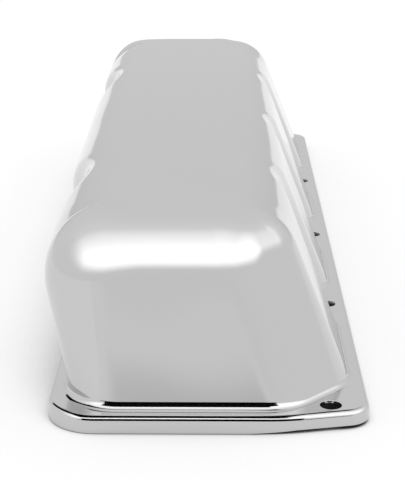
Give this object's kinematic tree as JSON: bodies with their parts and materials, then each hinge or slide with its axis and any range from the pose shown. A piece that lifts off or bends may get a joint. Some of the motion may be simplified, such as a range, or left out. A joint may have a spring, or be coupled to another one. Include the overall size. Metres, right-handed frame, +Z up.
{
  "type": "engine valve cover",
  "caption": "Deep pressed-steel rocker cover for one cylinder bank: chromed shell with a flat gasket flange, turned-down lip, bolt pockets along one side and two notches in the other.",
  "frame": {"origin": "middle of the cover's footprint, on the plane of the flange lip's lower edge", "axes": "+Y along the cover, +X across it towards the side with the bolt pockets, +Z up out of the engine"},
  "size_m": [0.1513, 0.542, 0.0903],
  "materials": {
    "chromed_sheet": "polished"
  },
  "bodies": {
    "root": {"valve_cover_shell": "chromed_sheet"}
  },
  "joints": []
}
